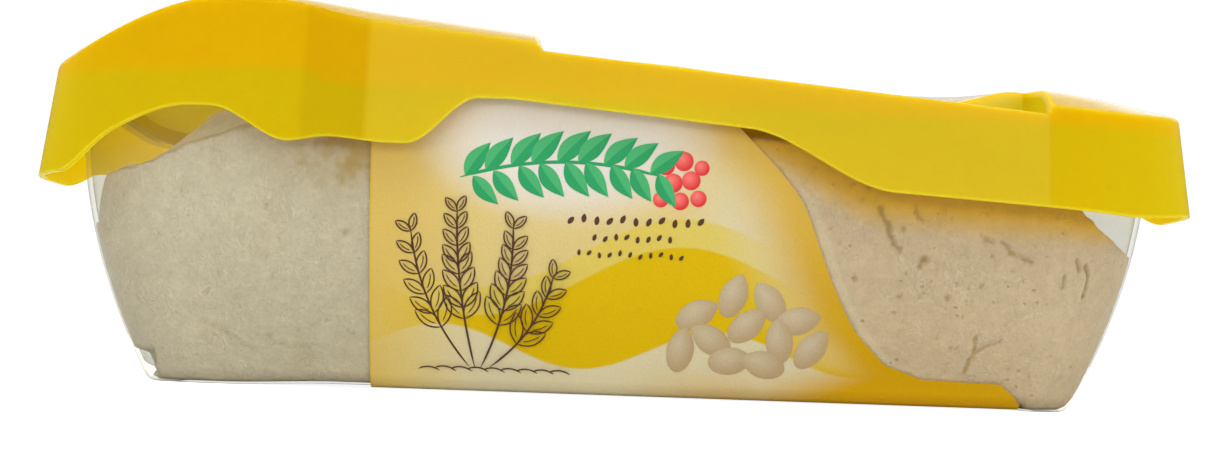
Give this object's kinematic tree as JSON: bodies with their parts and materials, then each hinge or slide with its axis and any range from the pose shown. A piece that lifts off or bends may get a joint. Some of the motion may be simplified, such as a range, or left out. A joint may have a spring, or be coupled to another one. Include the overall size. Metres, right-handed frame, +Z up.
{
  "type": "tub of sesame halva",
  "caption": "Clear oblong tub filled with pressed sesame halva, a printed sleeve round its middle and a yellow press-on lid with a waved skirt.",
  "frame": {"origin": "on the ground under the middle of the pack", "axes": "+X along the long side, to the right as seen from the front; the front faces -Y; +Z up"},
  "size_m": [0.201, 0.1111, 0.065],
  "materials": {
    "clear_plastic": "clear, glossy moulded plastic",
    "halva": "dense matt sesame paste with fine fibres, pits and cracks",
    "printed_film": "satin printed film with a fine grain",
    "yellow_plastic": "glossy, slightly translucent yellow plastic"
  },
  "bodies": {
    "root": {"tub": "clear_plastic", "halva": "halva", "sleeve": "printed_film", "lid": "yellow_plastic"}
  },
  "joints": []
}
